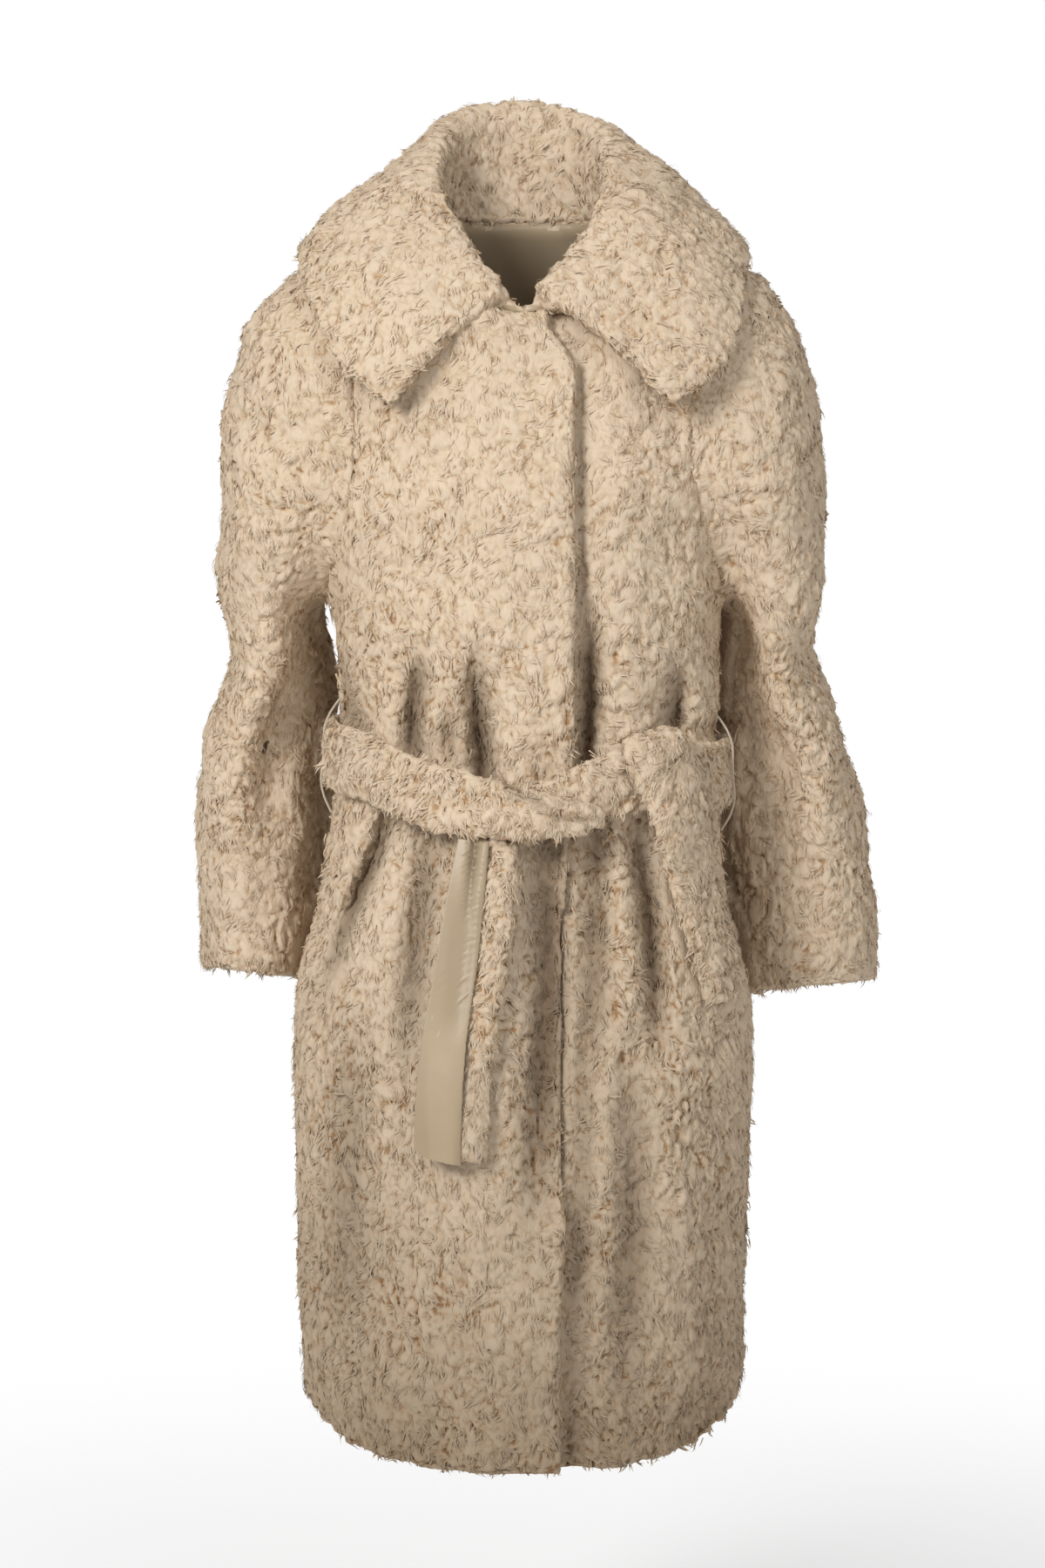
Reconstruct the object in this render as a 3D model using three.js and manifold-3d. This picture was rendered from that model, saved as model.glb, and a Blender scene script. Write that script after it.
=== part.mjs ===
// A long faux fur coat with a fold-over collar and a tied belt, hollow, in the pose of wear.
// Millimetres. +Z is up, the front faces -Y and +X is the wearer's left.
// The origin is the middle of the neck, level with the highest point of the shoulder seams.
// Each piece of cloth is a wall as thick as its backing and pile together.
import * as THREE from "three";
import { mergeVertices } from "three/addons/utils/BufferGeometryUtils.js";
import Module from "manifold-3d";

const wasm = await Module();
wasm.setup();

// Driving dimensions
const CLOTH = 15; // backing and pile of a body panel or sleeve
const SEAM = 0.4; // gap between two pieces that are sewn together
const ARMHOLE = 0.8; // gap between a sleeve's head and the armhole, measured across the sleeve
const CLEAR = 0.5; // gap between a piece and what it lies on
const HEM_FRONT = -1128; // hem height at the centre front and centre back
const HEM_RISE = 40; // how much higher the hem is at the side seams
const NECK_FRONT = -96; // neckline height at the centre front
const NECK_BACK = 0; // neckline height at the sides and back
const LAP = 8.5; // the right front stands out by this, and the left front lies in by it
const LAP_WIDTH = 45; // width over which a front moves out or in
const UNDERLAP = -28; // x of the left front's hidden edge
const SQUARENESS = 2.3; // exponent of the body's cross-section, where 2 is an ellipse
const BELT_WIDTH = 62;
const BELT_CLOTH = 12;
const BELT_LIFT = 2.1; // gap between the body and the belt
const BELT_LINING = 1.4;
const THREAD = 1.1; // radius of a sewn belt loop
const WAIST = -505; // height of the belt at the sides
const WAIST_SWAY = 6; // how far the bodice hangs to the wearer's left above the belt

// The body from hem to neck: half width, and reach to the front and to the back
const bodySections = [
  { z: -1170, side: 190, front: 156, back: 156 },
  { z: -1090, side: 203, front: 168, back: 166 },
  { z: -1000, side: 208, front: 173, back: 170 },
  { z: -880, side: 210, front: 175, back: 172 },
  { z: -770, side: 216, front: 174, back: 172 },
  { z: -700, side: 209, front: 169, back: 167 },
  { z: -620, side: 188, front: 158, back: 157 },
  { z: -560, side: 183, front: 147, back: 146 },
  { z: -505, side: 175, front: 140, back: 139 },
  { z: -450, side: 175, front: 143, back: 142 },
  { z: -380, side: 178, front: 150, back: 148 },
  { z: -300, side: 188, front: 154, back: 152 },
  { z: -220, side: 197, front: 146, back: 149 },
  { z: -150, side: 200, front: 132, back: 142 },
  { z: -110, side: 201, front: 120, back: 134 },
  { z: -80, side: 200, front: 110, back: 127 },
  { z: -60, side: 196, front: 101, back: 120 },
  { z: -45, side: 186, front: 94, back: 113 },
  { z: -33, side: 164, front: 87, back: 106 },
  { z: -23, side: 138, front: 81, back: 99 },
  { z: -14, side: 112, front: 76, back: 92 },
  { z: -6, side: 92, front: 72, back: 85 },
  { z: 4, side: 76, front: 68, back: 77 },
];

// Heights of the grid's rows at a side seam, from hem to neck, as shares of the way up
const BODY_ROWS = [
  0, 0.07, 0.16, 0.25, 0.32, 0.375, 0.425, 0.475, 0.52, 0.56, 0.605, 0.66, 0.72, 0.78, 0.84,
  0.89, 0.925, 0.95, 0.968, 0.984, 1,
];

// Soft troughs in the body. Angles run from the centre front, positive to the wearer's left, in degrees.
const bodyFolds = [
  { name: "right pocket mouth", top: -545, bottom: -705, from: -34, to: -56, depth: 9, width: 20 },
  { name: "left pocket mouth", top: -545, bottom: -705, from: 34, to: 56, depth: 9, width: 20 },
  { name: "fold under the knot", top: -590, bottom: -880, from: 0.5, to: 1, depth: 9, width: 17 },
  { name: "skirt fold at the left", top: -590, bottom: -730, from: 26, to: 29, depth: 8, width: 19 },
  { name: "skirt fold at the right", top: -600, bottom: -860, from: -20, to: -27, depth: 6, width: 20 },
  { name: "bodice gather at the right", top: -420, bottom: -505, from: -31, to: -27, depth: 9, width: 19 },
  { name: "bodice gather by the placket", top: -425, bottom: -520, from: -10, to: -13, depth: 9, width: 17 },
  { name: "bodice gather at the left", top: -430, bottom: -500, from: 47, to: 42, depth: 8, width: 20 },
];
const BACK_GATHERS = 6; // troughs across the back, above and below the belt
const GATHER_DEPTH = 8;
const GATHER_WIDTH = 20;

// The sleeve, from inside the armhole to the cuff. tilt turns each section about its inner point, from 0,
// an upright plane, to 90, a level one. span and depth are its size across and from front to back.
const sleeveSections = [
  { tilt: 0, inX: 150, inZ: -342, span: 312, depth: 222, y: 2, dip: 0 },
  { tilt: 0, inX: 177, inZ: -346, span: 307, depth: 222, y: 2, dip: 0 },
  { tilt: 8, inX: 178, inZ: -348, span: 298, depth: 220, y: 3, dip: 0 },
  { tilt: 17, inX: 179, inZ: -350, span: 262, depth: 212, y: 5, dip: 0 },
  { tilt: 28, inX: 180, inZ: -353, span: 204, depth: 203, y: 7, dip: 0 },
  { tilt: 43, inX: 181.5, inZ: -356, span: 146, depth: 194, y: 11, dip: 0 },
  { tilt: 62, inX: 183, inZ: -359, span: 112, depth: 188, y: 15, dip: 0 },
  { tilt: 82, inX: 185.5, inZ: -364, span: 96, depth: 183, y: 20, dip: 0 },
  { tilt: 90, inX: 184, inZ: -402, span: 89, depth: 178, y: 32, dip: 0 },
  { tilt: 90, inX: 186, inZ: -442, span: 101, depth: 176, y: 46, dip: 0 },
  { tilt: 90, inX: 193, inZ: -482, span: 109, depth: 174, y: 58, dip: 0 },
  { tilt: 89, inX: 194, inZ: -526, span: 115, depth: 171, y: 69, dip: 0 },
  { tilt: 88, inX: 193, inZ: -580, span: 117, depth: 167, y: 79, dip: 3 },
  { tilt: 86, inX: 198, inZ: -640, span: 113, depth: 162, y: 87, dip: 6 },
  { tilt: 83, inX: 205, inZ: -714, span: 103, depth: 156, y: 92, dip: 9 },
];
const SLEEVE_POINTS = 20;
const CUFF_FLARE = { right: 0, left: 32 }; // how much further out a cuff reaches
const CUFF_DROP = { right: 1, left: 16 }; // how much lower a cuff hangs
const FLARE_TOP = -400; // the height below which a sleeve swings out and hangs lower
const FLARE_BOTTOM = -712;

// Soft troughs in a sleeve, by height and by angle round it: 0 is outside, 90 the front, 180 inside.
const sleeveFolds = [
  { name: "armpit crease", top: -372, bottom: -555, from: 158, to: 112, depth: 32, width: 38 },
  { name: "crease at the elbow", top: -385, bottom: -430, from: 60, to: 15, depth: 8, width: 30 },
  { name: "fold above the cuff", top: -560, bottom: -690, from: 120, to: 100, depth: 8, width: 24 },
  { name: "fullness behind the body", top: -380, bottom: -700, from: 222, to: 212, depth: -34, width: 44 },
  { name: "crease behind the elbow", top: -385, bottom: -470, from: 285, to: 320, depth: 9, width: 28 },
];

// The collar from the centre back to its front end: the middle of its roll, and the middle of its outer edge
const collarStations = [
  { at: 0, rollX: 0, rollY: 86, rollZ: 103, edgeX: 0, edgeY: 172, edgeZ: -44, bulge: 13, sway: 0 },
  { at: 0.14, rollX: 36, rollY: 80, rollZ: 98, edgeX: 66, edgeY: 160, edgeZ: -44, bulge: 13, sway: 0 },
  { at: 0.28, rollX: 64, rollY: 58, rollZ: 84, edgeX: 132, edgeY: 128, edgeZ: -42, bulge: 13, sway: 0 },
  { at: 0.42, rollX: 79, rollY: 20, rollZ: 62, edgeX: 186, edgeY: 68, edgeZ: -38, bulge: 12, sway: 0 },
  { at: 0.56, rollX: 80, rollY: -20, rollZ: 36, edgeX: 205, edgeY: -4, edgeZ: -36, bulge: 12, sway: 0 },
  { at: 0.7, rollX: 76, rollY: -58, rollZ: 2, edgeX: 200, edgeY: -74, edgeZ: -80, bulge: 10, sway: 3 },
  { at: 0.85, rollX: 50, rollY: -92, rollZ: -42, edgeX: 174, edgeY: -124, edgeZ: -144, bulge: 8, sway: 7 },
  { at: 1, rollX: 19, rollY: -117, rollZ: -86, edgeX: 126, edgeY: -154, edgeZ: -186, bulge: 4, sway: 8 },
];
const COLLAR_COLUMNS = 26; // stations from one front end to the other
const ROLL_RADIUS = 8.5;
const STAND_CLOTH = 14;
const FALL_CLOTH = 20; // upper and under collar together
const COLLAR_EDGE = 13;
const FALL_STEPS = 4;

// The belt's middle line round the waist, by angle from the centre front. It starts under the knot, goes
// round the back and ends over its own start.
const beltStations = [
  { angle: -8, z: -546, half: 13, layer: 0 },
  { angle: 0, z: -537, half: 20, layer: 0 },
  { angle: 10, z: -524, half: 28, layer: 0 },
  { angle: 23, z: -511, half: 31, layer: 0 },
  { angle: 48, z: -509, half: 31, layer: 0 },
  { angle: 90, z: -507, half: 31, layer: 0 },
  { angle: 180, z: -500, half: 31, layer: 0 },
  { angle: 270, z: -491, half: 31, layer: 0 },
  { angle: 305, z: -497, half: 31, layer: 0 },
  { angle: 325, z: -512, half: 31, layer: 1 },
  { angle: 341, z: -528, half: 32, layer: 2.3 },
  { angle: 353, z: -535, half: 28, layer: 2.3 },
  { angle: 360, z: -541, half: 22, layer: 2.2 },
  { angle: 373, z: -544, half: 11, layer: 2.1 },
  { angle: 377, z: -544, half: 7, layer: 2 },
];
const BELT_STEPS = 52;

// The belt's two hanging ends: the middle line by x and height, the half width, the half width of the
// lining that shows, and how many layers of belt it lies over
const rightEnd = [
  { x: -29, z: -561.2, half: 27, lining: 14, layer: 0 },
  { x: -36, z: -615, half: 31, lining: 17, layer: 0 },
  { x: -44, z: -674, half: 33, lining: 18.5, layer: 0 },
  { x: -54, z: -736, half: 32, lining: 20, layer: 0 },
  { x: -58, z: -787, half: 33, lining: 21, layer: 0 },
  { x: -59.5, z: -838, half: 32, lining: 21, layer: 0 },
];
const LINING_SHIFT = -11.5;
const leftEnd = [
  { x: 104, z: -464, half: 24, lining: 0, layer: 0.1 },
  { x: 107, z: -474, half: 30, lining: 0, layer: 1.9 },
  { x: 112, z: -493, half: 32, lining: 0, layer: 2.2 },
  { x: 124, z: -525, half: 32, lining: 0, layer: 2.2 },
  { x: 133, z: -557, half: 31, lining: 0, layer: 1.9 },
  { x: 149, z: -606, half: 31, lining: 0, layer: -0.18 },
  { x: 168, z: -668, half: 32, lining: 0, layer: -0.18 },
  { x: 178, z: -706, half: 27, lining: 0, layer: -0.15 },
];

const radians = THREE.MathUtils.degToRad;
const vector = (x, y, z) => new THREE.Vector3(x, y, z);
const mix = (a, b, share) => a + (b - a) * share;

// 0 before start, 1 after end, and smooth between
function ease(value, start, end) {
  const share = THREE.MathUtils.clamp((value - start) / (end - start), 0, 1);
  return share * share * (3 - 2 * share);
}

// A smooth curve through one column of a table, by another column that grows from row to row
function through(rows, key, column) {
  const at = rows.map((row) => row[key]);
  const value = rows.map((row) => row[column]);
  const last = rows.length - 1;
  const slope = value.map((_, i) => {
    const before = Math.max(i - 1, 0);
    const after = Math.min(i + 1, last);
    return (value[after] - value[before]) / (at[after] - at[before]);
  });
  return (x) => {
    const place = THREE.MathUtils.clamp(x, at[0], at[last]);
    const i = Math.min(Math.max(at.findIndex((a) => a > place) - 1, 0), last - 1);
    const row = place >= at[last] ? last - 1 : i;
    const gap = at[row + 1] - at[row];
    const t = (place - at[row]) / gap;
    const rise = value[row + 1] - value[row];
    const bendIn = slope[row] * gap - rise;
    const bendOut = rise - slope[row + 1] * gap;
    return value[row] + rise * t + t * (1 - t) * (bendIn * (1 - t) + bendOut * t);
  };
}

// A closed wall between two grids of points. Columns run anticlockwise seen from outside below, rows go up.
function wall(outer, inner, ring) {
  const rows = outer.length;
  const columns = outer[0].length;
  const points = [...outer.flat(), ...inner.flat()];
  const innerStart = rows * columns;
  const faces = [];
  const quad = (a, b, c, d) => faces.push(a, b, c, a, c, d);
  const at = (row, column) => row * columns + (column % columns);
  const across = ring ? columns : columns - 1;
  for (let row = 0; row < rows - 1; row++) {
    for (let column = 0; column < across; column++) {
      const [a, b] = [at(row, column), at(row, column + 1)];
      const [c, d] = [at(row + 1, column + 1), at(row + 1, column)];
      quad(a, b, c, d);
      quad(innerStart + d, innerStart + c, innerStart + b, innerStart + a);
    }
  }
  for (let column = 0; column < across; column++) {
    const [low, lowNext] = [at(0, column), at(0, column + 1)];
    const [high, highNext] = [at(rows - 1, column), at(rows - 1, column + 1)];
    quad(innerStart + low, innerStart + lowNext, lowNext, low);
    quad(high, highNext, innerStart + highNext, innerStart + high);
  }
  for (let row = 0; row < rows - 1 && !ring; row++) {
    const [start, startUp] = [at(row, 0), at(row + 1, 0)];
    const [end, endUp] = [at(row, columns - 1), at(row + 1, columns - 1)];
    quad(innerStart + start, start, startUp, innerStart + startUp);
    quad(end, innerStart + end, innerStart + endUp, endUp);
  }
  const geometry = new THREE.BufferGeometry().setFromPoints(points);
  geometry.setIndex(faces);
  return geometry;
}

function solidOf(geometry) {
  const bare = geometry.clone();
  bare.deleteAttribute("normal");
  bare.deleteAttribute("uv");
  const merged = mergeVertices(bare, 1e-4);
  return new wasm.Manifold(
    new wasm.Mesh({
      numProp: 3,
      vertProperties: new Float32Array(merged.attributes.position.array),
      triVerts: new Uint32Array(merged.index.array),
    }),
  );
}

// A tube of rings, filled. Each end is a fan about its own middle.
function plug(rings) {
  const size = rings[0].length;
  const points = rings.flat();
  const topRow = (rings.length - 1) * size;
  const [bottom, top] = [points.length, points.length + 1];
  for (const ring of [rings[0], rings[rings.length - 1]]) {
    const middle = vector(0, 0, 0);
    ring.forEach((p) => middle.addScaledVector(p, 1 / size));
    points.push(middle);
  }
  const faces = [];
  for (let i = 0; i < size; i++) {
    const next = (i + 1) % size;
    for (let row = 0; row < topRow; row += size) {
      faces.push(row + i, row + next, row + size + next);
      faces.push(row + i, row + size + next, row + size + i);
    }
    faces.push(bottom, next, i);
    faces.push(top, topRow + i, topRow + next);
  }
  const geometry = new THREE.BufferGeometry().setFromPoints(points);
  geometry.setIndex(faces);
  return solidOf(geometry);
}

// The largest body of a solid, so that no sliver of a cut stays behind
function geometryOf(solid) {
  const main = solid.decompose().sort((a, b) => b.volume() - a.volume())[0];
  const mesh = main.getMesh();
  const geometry = new THREE.BufferGeometry();
  geometry.setAttribute("position", new THREE.BufferAttribute(new Float32Array(mesh.vertProperties), 3));
  geometry.setIndex(new THREE.BufferAttribute(new Uint32Array(mesh.triVerts), 1));
  geometry.computeVertexNormals();
  return geometry;
}

// Body surface
const sideAt = through(bodySections, "z", "side");
const frontAt = through(bodySections, "z", "front");
const backAt = through(bodySections, "z", "back");
const ROUNDING = 2 / SQUARENESS;
const signedPower = (value, power) => Math.sign(value) * Math.abs(value) ** power;

function hemHeight(angle) {
  return HEM_FRONT + HEM_RISE * Math.sin(angle) ** 4;
}

function neckHeight(angle) {
  return mix(NECK_BACK, NECK_FRONT, Math.max(0, Math.cos(angle)) ** 1.6);
}

// How far the body's middle is from the middle of the neck, to the wearer's left
const swayAt = (z) => WAIST_SWAY * Math.exp(-(((z - WAIST - 60) / 110) ** 2));

// The angle at which the body's surface has this x, on the front
function angleAtX(x, z) {
  const share = (x - swayAt(z)) / sideAt(z);
  return Math.asin(THREE.MathUtils.clamp(signedPower(share, 1 / ROUNDING), -1, 1));
}

// How deep the troughs are at a place on the body
function foldDepth(angle, z) {
  const radius = (sideAt(z) + frontAt(z)) / 2;
  let depth = 0;
  for (const fold of bodyFolds) {
    const share = (fold.top - z) / (fold.top - fold.bottom);
    const middle = radians(mix(fold.from, fold.to, share));
    const away = ((angle - middle) * radius) / fold.width;
    depth += fold.depth * Math.exp(-away * away) * ease(share, -0.2, 0.25) * ease(1.25 - share, 0, 0.5);
  }
  for (let i = 0; i < BACK_GATHERS; i++) {
    const middle = radians(mix(112, 248, i / (BACK_GATHERS - 1)));
    const turned = angle < 0 ? angle + 2 * Math.PI : angle;
    const away = ((turned - middle) * radius) / GATHER_WIDTH;
    const reach = 105 + 35 * Math.sin(2.4 * i);
    const near = Math.exp(-(((z - WAIST) / reach) ** 2));
    depth += GATHER_DEPTH * near * Math.exp(-away * away);
  }
  return depth;
}

function bodyPoint(angle, z, folded) {
  const reach = Math.cos(angle) > 0 ? frontAt(z) : backAt(z);
  const x = sideAt(z) * signedPower(Math.sin(angle), ROUNDING);
  const y = -reach * signedPower(Math.cos(angle), ROUNDING);
  const kept = folded ? 1 - foldDepth(angle, z) / Math.hypot(x, y) : 1;
  return vector(x * kept + swayAt(z), y * kept, z);
}

// The body's outward direction, from the surface without its folds
function bodyNormal(angle, z) {
  const around = bodyPoint(angle + 0.02, z, false).sub(bodyPoint(angle - 0.02, z, false));
  const up = bodyPoint(angle, z + 2, false).sub(bodyPoint(angle, z - 2, false));
  return around.cross(up).normalize();
}

function onBody(angle, z, lift, folded = true) {
  return bodyPoint(angle, z, folded).addScaledVector(bodyNormal(angle, z), lift);
}

// x of the right front's visible edge
function frontEdge(z) {
  return 49 - 10 * ease(-z, 540, 620) - 26 * ease(z, -145, -100);
}

const sideSeam = (z) => Math.PI / 2 - (SEAM / 2 / frontAt(z)) ** (1 / ROUNDING);
const rightLap = (x) => LAP * ease(x, UNDERLAP - LAP_WIDTH, UNDERLAP);
const leftLap = (x) => -LAP * (1 - ease(x, 48, 48 + LAP_WIDTH));

const panels = [
  {
    name: "front_right",
    columns: 16,
    from: (z) => -sideSeam(z),
    to: (z) => angleAtX(frontEdge(z), z),
    lap: rightLap,
  },
  {
    name: "front_left",
    columns: 13,
    from: (z) => angleAtX(UNDERLAP, z),
    to: sideSeam,
    lap: leftLap,
  },
  {
    name: "back",
    columns: 18,
    from: (z) => Math.PI - sideSeam(z),
    to: (z) => Math.PI + sideSeam(z),
    lap: () => 0,
  },
];

// A grid of points on a panel, at a depth under its outer surface, and grown at its edges, most at the neck
function panelGrid(panel, depth, grow = 0) {
  return BODY_ROWS.map((share) => {
    const row = [];
    for (let column = 0; column <= panel.columns; column++) {
      let z = mix(HEM_FRONT, NECK_BACK, share);
      let angle = 0;
      for (let pass = 0; pass < 3; pass++) {
        const widen = grow / frontAt(z);
        angle = mix(panel.from(z) - widen, panel.to(z) + widen, column / panel.columns);
        z = mix(hemHeight(angle) - grow, neckHeight(angle) + 2 * grow, share);
      }
      const x = bodyPoint(angle, z, false).x;
      row.push(onBody(angle, z, panel.lap(x) - depth));
    }
    return row;
  });
}

const panelWall = (panel) => solidOf(wall(panelGrid(panel, 0), panelGrid(panel, CLOTH), false));

// What the collar must stay out of: each panel, grown outwards and thick inwards
const BLOCK_DEPTH = 45;
const BLOCK_GROW = 1.4;
const panelBlocks = panels.map((panel) =>
  solidOf(wall(panelGrid(panel, -BLOCK_GROW, 1), panelGrid(panel, BLOCK_DEPTH, 1), false)),
);

// The hollow inside the body's walls, closed at the hem and neck
function bodyHollow() {
  const rings = BODY_ROWS.map((share) => {
    const ring = [];
    for (let column = 0; column < 48; column++) {
      const angle = (column / 48) * 2 * Math.PI - Math.PI;
      const z = mix(hemHeight(angle) - 5, neckHeight(angle), share);
      ring.push(onBody(angle, z, -CLOTH - 0.2));
    }
    return ring;
  });
  return plug(rings);
}

// Sleeves
function sleeveDepthAt(angle, z, spanRadius) {
  let depth = 0;
  const degrees = THREE.MathUtils.radToDeg(angle);
  for (const fold of sleeveFolds) {
    const share = (fold.top - z) / (fold.top - fold.bottom);
    const away = (radians(degrees - mix(fold.from, fold.to, share)) * spanRadius) / fold.width;
    depth += fold.depth * Math.exp(-away * away) * ease(share, -0.3, 0.3) * ease(1.3 - share, 0, 0.5);
  }
  return depth;
}

// One ring of a sleeve on the +X side, at a depth under its outer surface
function sleeveRing(section, side, depth) {
  const tilt = radians(section.tilt);
  const out = vector(Math.sin(tilt), 0, Math.cos(tilt));
  const swing = ease(-section.inZ, -FLARE_TOP, -FLARE_BOTTOM);
  const inX = section.inX + (section.tilt === 0 ? Math.min(depth, 0) : 0);
  const span = section.span + CUFF_FLARE[side] * swing;
  const inZ = section.inZ - CUFF_DROP[side] * swing;
  const centre = vector(inX, section.y, inZ).addScaledVector(out, span / 2);
  const ring = [];
  for (let i = 0; i < SLEEVE_POINTS; i++) {
    const angle = (i / SLEEVE_POINTS) * 2 * Math.PI;
    const dent = section.tilt < 60 ? 0 : sleeveDepthAt(angle, section.inZ, section.depth / 2);
    const spanRadius = span / 2 - depth - dent;
    const depthRadius = section.depth / 2 - depth - dent;
    const point = centre.clone().addScaledVector(out, spanRadius * Math.cos(angle));
    const back = -depthRadius * Math.sin(angle);
    point.y += back;
    point.z -= (section.dip * back) / (section.depth / 2);
    ring.push(point);
  }
  return ring;
}

// The sleeve's rings from cuff to armhole, for the +X side, or turned over for the other side
function sleeveRings(side, depth) {
  const rings = sleeveSections.map((section) => sleeveRing(section, side, depth));
  if (side === "left") return rings.reverse().map((ring) => ring.slice().reverse());
  return rings.reverse().map((ring) => ring.map((p) => vector(-p.x, p.y, p.z)));
}

// Collar
const collarCurves = Object.fromEntries(
  ["rollX", "rollY", "rollZ", "edgeX", "edgeY", "edgeZ", "bulge", "sway"].map((column) => [
    column,
    through(collarStations, "at", column),
  ]),
);

// The middle of the collar's roll, or of its outer edge. at runs from -1 to 1 over the centre back.
function collarLine(part, at) {
  const share = Math.abs(at);
  const [x, y, z] = ["X", "Y", "Z"].map((axis) => collarCurves[part + axis](share));
  const sway = part === "edge" ? collarCurves.sway(share) : 0;
  return vector(Math.sign(at) * x + sway, y, z);
}

// The neckline's angle at a place along the collar, from the centre back to the front end
function neckAngle(at) {
  const z = NECK_FRONT;
  const end = at < 0 ? Math.PI + angleAtX(8, z) : Math.PI - angleAtX(8, z);
  return Math.PI - Math.sign(at) * end * Math.abs(at) ** 0.95;
}

// One section of the collar: its middle line from the neck seam over the roll to the outer edge
function collarSection(at) {
  const step = 0.01;
  const roll = collarLine("roll", at);
  const edge = collarLine("edge", at);
  const forward = Math.min(at + step, 1);
  const backward = Math.max(at - step, -1);
  const along = collarLine("roll", forward).sub(collarLine("roll", backward)).normalize();
  const out = vector(roll.x, roll.y + 10, 0);
  out.addScaledVector(along, -out.dot(along)).normalize();
  const up = along.clone().cross(out).normalize();
  const angle = neckAngle(at);
  const seamZ = neckHeight(angle) + SEAM;
  const seam = onBody(angle, seamZ, -CLOTH / 2, false);
  const standTop = roll.clone().addScaledVector(out, -ROLL_RADIUS);
  const shoulder = out.clone().add(up).normalize();
  const leave = roll.clone().addScaledVector(shoulder, ROLL_RADIUS + 1.5);
  const line = [
    seam,
    seam.clone().lerp(standTop, 0.55),
    standTop,
    roll.clone().addScaledVector(shoulder.clone().sub(out).normalize(), ROLL_RADIUS),
    leave,
  ];
  const lift = collarCurves.bulge(Math.abs(at));
  for (let i = 1; i <= FALL_STEPS; i++) {
    const share = i / FALL_STEPS;
    line.push(leave.clone().lerp(edge, share).addScaledVector(out, lift * Math.sin(Math.PI * share) * 0.6));
    line[line.length - 1].z += lift * Math.sin(Math.PI * share) * 0.8;
  }
  return line;
}

function collarSolid() {
  const grid = [];
  for (let i = 0; i <= COLLAR_COLUMNS; i++) grid.push(collarSection(mix(-1, 1, i / COLLAR_COLUMNS)));
  const outer = [];
  const inner = [];
  grid.forEach((line, i) => {
    const next = grid[Math.min(i + 1, COLLAR_COLUMNS)];
    const before = grid[Math.max(i - 1, 0)];
    const last = line.length - 1;
    outer.push([]);
    inner.push([]);
    line.forEach((point, j) => {
      const along = next[j].clone().sub(before[j]);
      const across = line[Math.min(j + 1, last)].clone().sub(line[Math.max(j - 1, 0)]);
      const normal = along.cross(across).normalize();
      const cloth = j < 4 ? STAND_CLOTH : mix(STAND_CLOTH, FALL_CLOTH, ease(j, 4, 6));
      const half = (j === last ? COLLAR_EDGE : cloth) / 2;
      outer[i].push(point.clone().addScaledVector(normal, half));
      inner[i].push(point.clone().addScaledVector(normal, -half));
    });
  });
  const turn = (lines) => lines[0].map((_, j) => lines.map((line) => line[j]));
  return solidOf(wall(turn(outer), turn(inner), false));
}

// Belt
const LINING_PROFILE = [{ across: -1 }, { across: 0 }, { across: 1 }];
const BELT_PROFILE = [
  { across: -1, thick: 0.35 },
  { across: -0.72, thick: 0.86 },
  { across: 0, thick: 1 },
  { across: 0.72, thick: 0.86 },
  { across: 1, thick: 0.35 },
];

// How far the belt is held off the body, by the lapped fronts and by other layers of belt
function beltLift(x, onFront, layer) {
  const edge = frontEdge(WAIST);
  const lap = x < edge ? rightLap(x) : LAP * (1 - ease(x, edge, edge + 60));
  return BELT_LIFT + (onFront ? lap : 0) + layer * (BELT_CLOTH / 2 + 0.5);
}

const turnGrid = (lines) => lines[0].map((_, i) => lines.map((line) => line[i]));

function beltWrap() {
  const [zAt, halfAt, layerAt] = ["z", "half", "layer"].map((c) => through(beltStations, "angle", c));
  const start = beltStations[0].angle;
  const end = beltStations[beltStations.length - 1].angle;
  const [outer, inner] = [[], []];
  for (let i = 0; i <= BELT_STEPS; i++) {
    const degrees = mix(start, end, i / BELT_STEPS);
    const angle = radians(degrees > 180 ? degrees - 360 : degrees);
    const centre = zAt(degrees);
    const x = bodyPoint(angle, centre, false).x;
    const lift = beltLift(x, Math.cos(angle) > 0, layerAt(degrees));
    outer.push([]);
    inner.push([]);
    for (const { across, thick } of BELT_PROFILE) {
      const z = centre + across * halfAt(degrees);
      outer[i].push(onBody(angle, z, lift + thick * BELT_CLOTH, false));
      inner[i].push(onBody(angle, z, lift, false));
    }
  }
  return solidOf(wall(turnGrid(outer), turnGrid(inner), false));
}

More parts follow.
